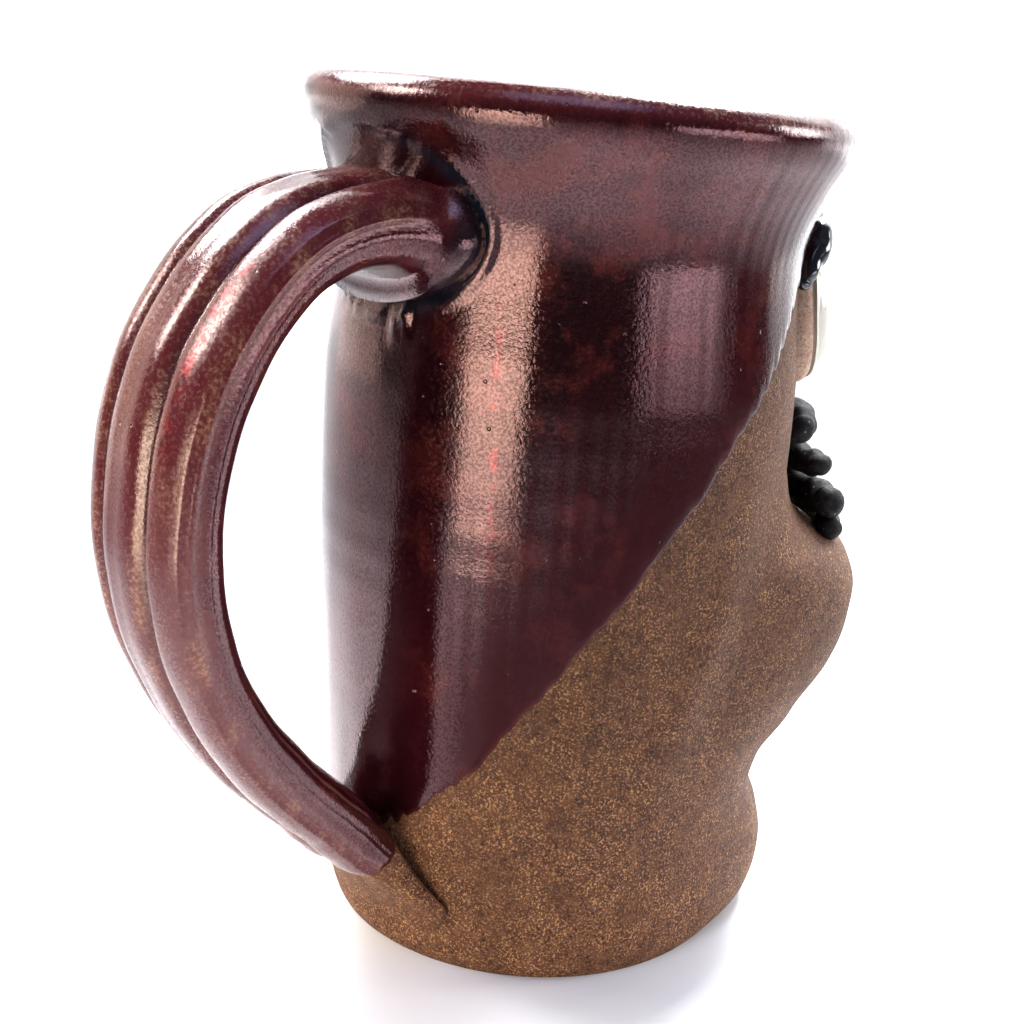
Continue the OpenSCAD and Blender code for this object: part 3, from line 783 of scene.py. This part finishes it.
LIP = [(-15, 65.2, 16.6, 1.2), (-8, 66.2, 18.2, 2.1), (0, 66.6, 18.7, 2.4), (8, 66.2, 18.2, 2.1),
       (15, 65.2, 16.6, 1.2)]

# Half width of the nose, and its share of the full stand-off, at each height
nose_width = smooth_table([(88, 4.5), (88.6, 7.6), (91, 9.2), (94, 8.6), (98, 6.6), (104, 5), (111, 4.4),
                           (117, 4), (120, 3)])
nose_depth = smooth_table([(88, 0.3), (88.6, 0.72), (91, 0.95), (94, 1), (98, 0.84), (104, 0.62),
                           (111, 0.42), (117, 0.22), (120, 0.06)])


def make_nose():
    front = np.sin(np.linspace(-math.pi / 2, math.pi / 2, 61))
    rings = []
    for z in np.concatenate([np.linspace(88, 90, 14), np.linspace(90.4, 120, 60)]):
        w, out = nose_width(z), NOSE_OUT * nose_depth(z)
        wing = 1.3 * bump_at(z, 91.5, 2.6) * bump_at(np.abs(front), 0.82, 0.16)
        dent = 1.1 * bump_at(z, 93.2, 3.2) * bump_at(np.abs(front), 0.55, 0.12)
        x = front * w
        wall_y = -np.sqrt(thrown_r(z) ** 2 - x * x)
        y = wall_y - out * (1 - front ** 2) ** 0.6 - (wing - dent)
        rings.append(np.concatenate([np.stack([x, y, 0 * x + z], -1),
                                     np.stack([-x[1:-1], wall_y[::-1][1:-1] + 0.9, 0 * x[1:-1] + z], -1)]))
    skin("nose_form", rings, "nose", bare_clay)


def make_face():
    make_nose()
    make_coil("lip_form", 1, LIP, "lower_lip", bare_clay, 5, 0.02)
    for side, word in ((-1, "left"), (1, "right")):
        make_eye(side, word)
        make_coil(f"brow_roll_{word}", side, BROW, f"brow_{word}", black_glaze,
                  40 + side, 0.05)
        for row, route in enumerate(CURLS, 1):
            make_coil(f"moustache_roll_{row}_{word}", side, route, f"curl_{row}_{word}",
                      black_clay, 50 + 3 * row + side, 0.07)


# ---------------------------------------------------------------- studio

CAMERA_OUT = 264.7              # distance of the camera from the cup's axis, and its height
CAMERA_UP = 148.7
CAMERA_AZIMUTH = -132.0         # the side it looks from
CAMERA_YAW = -1.486
CAMERA_PITCH = 16.62
CAMERA_ROLL = 3.81
LENS = 55.77
SENSOR = 36.0


def from_camera_side(angle):
    """Azimuth in the row frame of an angle from the camera's side, positive to its right."""
    return CAMERA_AZIMUTH + angle


def make_camera():
    a = math.radians(CAMERA_AZIMUTH)
    back = Vector((math.sin(a), -math.cos(a), 0))
    right = Vector((math.cos(a), math.sin(a), 0))
    yaw, pitch, roll = (math.radians(v) for v in (CAMERA_YAW, CAMERA_PITCH, CAMERA_ROLL))
    flat = -back * math.cos(yaw) + right * math.sin(yaw)
    forward = flat * math.cos(pitch) - Vector((0, 0, math.sin(pitch)))
    side = right * math.cos(yaw) + back * math.sin(yaw)
    up = side.cross(forward)
    side_rolled = side * math.cos(roll) + up * math.sin(roll)
    up_rolled = up * math.cos(roll) - side * math.sin(roll)
    data = bpy.data.cameras.new("camera")
    data.lens = LENS
    data.sensor_width = SENSOR
    data.clip_start = 0.01
    camera = bpy.data.objects.new("camera", data)
    place = back * (CAMERA_OUT * MM) + Vector((0, 0, CAMERA_UP * MM))
    axes = Matrix((side_rolled, up_rolled, -forward)).transposed()
    camera.matrix_world = Matrix.Translation(place) @ axes.to_4x4()
    bpy.context.scene.collection.objects.link(camera)
    bpy.context.scene.camera = camera


def softbox(name, azimuth, distance, height, width, tall, radiance, colour, aim=(0.0, 60.0), spread=180.0):
    """A rectangular light. It points at a distance and a height on its own azimuth."""
    a = math.radians(azimuth)
    out = Vector((math.sin(a), -math.cos(a), 0))
    place = (out * distance + Vector((0, 0, height))) * MM
    target = (out * aim[0] + Vector((0, 0, aim[1]))) * MM
    data = bpy.data.lights.new(name, "AREA")
    data.shape = "RECTANGLE"
    data.size, data.size_y = width * MM, tall * MM
    data.energy = radiance * math.pi * data.size * data.size_y
    data.color = colour
    data.spread = math.radians(spread)
    light = bpy.data.objects.new(name, data)
    light.location = place
    light.rotation_euler = (target - place).to_track_quat("-Z", "Y").to_euler()
    light.visible_camera = False
    bpy.context.scene.collection.objects.link(light)


def make_floor():
    """A pale sheet that runs level under the mug and sweeps up behind it, as the camera sees it."""
    back, bend, top, half, steps = 1.1, 0.7, 1.9, 3.0, 24
    profile = [(-2.5, 0.0), (back, 0.0)]
    profile += [(back + bend * math.sin(t), bend - bend * math.cos(t))
                for t in np.linspace(0, math.pi / 2, steps + 1)[1:]]
    profile.append((back + bend, top))
    a = math.radians(CAMERA_AZIMUTH)
    away, side = Vector((-math.sin(a), math.cos(a), 0)), Vector((math.cos(a), math.sin(a), 0))
    points = [away * d + side * s + Vector((0, 0, z)) for d, z in profile for s in (-half, half)]
    faces = [(2 * i, 2 * i + 1, 2 * i + 3, 2 * i + 2) for i in range(len(profile) - 1)]
    mesh = bpy.data.meshes.new("floor")
    mesh.from_pydata(points, [], faces)
    mesh.polygons.foreach_set("use_smooth", np.ones(len(faces), bool))
    floor = bpy.data.objects.new("floor", mesh)
    bpy.context.scene.collection.objects.link(floor)
    n = Nodes("floor_look")
    n.shader.inputs["Base Color"].default_value = (0.86, 0.86, 0.87, 1)
    n.shader.inputs["Roughness"].default_value = 0.95
    n.shader.inputs["Specular IOR Level"].default_value = 0.1
    mesh.materials.append(n.material)


def make_studio():
    scene = bpy.context.scene
    scene.view_settings.view_transform = "Standard"
    world = bpy.data.worlds.new("studio")
    world.use_nodes = True
    world.node_tree.nodes["Background"].inputs["Color"].default_value = (0.95, 0.97, 1.0, 1)
    world.node_tree.nodes["Background"].inputs["Strength"].default_value = 0.07
    scene.world = world
    make_floor()

    warm, cool, plain = (1.0, 0.92, 0.72), (1.0, 0.93, 1.0), (0.95, 0.98, 1.0)
    softbox("window", from_camera_side(-29), 240, 60, 112, 118, 2.35, warm, (0, 60), 90)
    softbox("side_window", from_camera_side(58), 430, 88, 350, 120, 1.05, cool, (0, 88), 90)
    softbox("upper_left", from_camera_side(-130), 420, 480, 420, 220, 2.6, plain, (0, 100), 48)
    softbox("left_window", from_camera_side(-112), 520, 160, 420, 320, 1.5, (1.0, 0.82, 0.70), (0, 60))
    softbox("right_window", from_camera_side(132), 520, 160, 420, 320, 2.4, plain, (0, 60))
    softbox("pool", from_camera_side(152), 380, 590, 200, 200, 4.6, plain, (30, 0), 32)
    softbox("handle_light", from_camera_side(-82), 430, 330, 170, 170, 1.5, (1.0, 0.93, 0.88), (60, 85), 40)
    softbox("face_light", from_camera_side(100), 480, 260, 200, 200, 1.2, plain, (40, 104), 46)
    softbox("over_front", from_camera_side(0), 300, 760, 520, 420, 0.42, (0.72, 0.80, 1.45), (0, 130), 90)
    softbox("behind", from_camera_side(150), 520, 560, 500, 400, 1.4, plain, (0, 60), 120)
    softbox("floor_wash", from_camera_side(180), 950, 700, 1800, 700, 4.0, plain, (951, 0), 130)
    softbox("backdrop_wash", from_camera_side(180), 600, 1300, 1800, 500, 10.0, plain, (1600, 400), 110)


make_camera()
make_studio()
make_body()
make_outer_glaze()
make_liner()
make_handle()
make_face()
